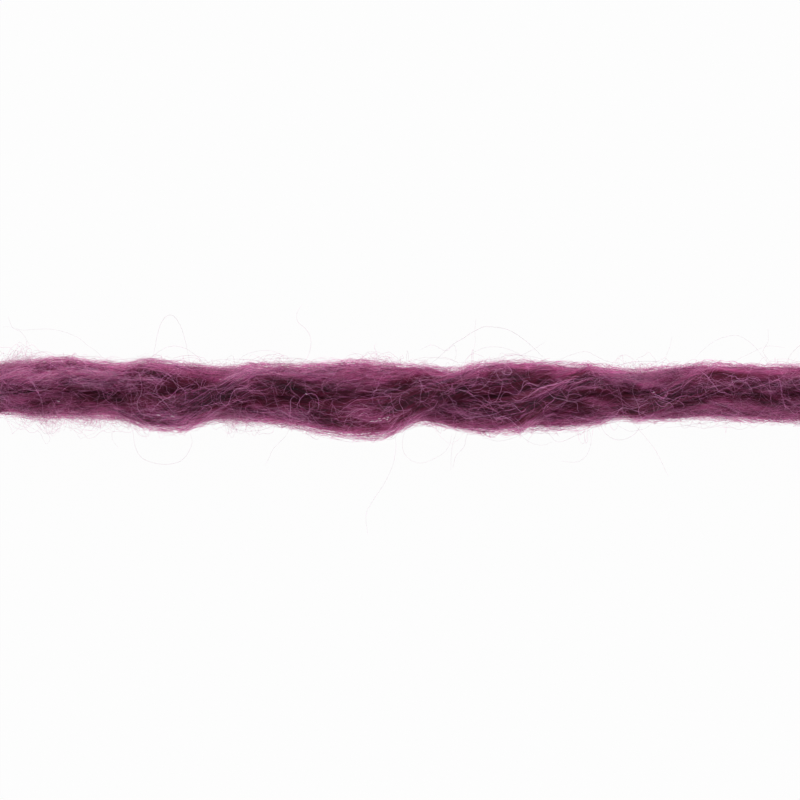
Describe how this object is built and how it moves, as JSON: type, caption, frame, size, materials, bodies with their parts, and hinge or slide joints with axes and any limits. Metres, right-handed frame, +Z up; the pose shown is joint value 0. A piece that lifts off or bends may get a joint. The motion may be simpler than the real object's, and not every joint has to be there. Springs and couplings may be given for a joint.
{
  "type": "knitting yarn",
  "caption": "Cut length of lofty, loosely twisted thick-and-thin wool knitting yarn, lying straight on a flat surface.",
  "frame": {"origin": "on the surface that the strand lies on, under the middle of its box", "axes": "+X along the strand, +Y across it, +Z up from the surface"},
  "size_m": [0.1, 0.0078, 0.0068],
  "materials": {
    "wool": "soft, hairy, matt plum wool"
  },
  "bodies": {
    "root": {"ply_1": "wool", "ply_2": "wool", "ply_3": "wool"}
  },
  "joints": []
}
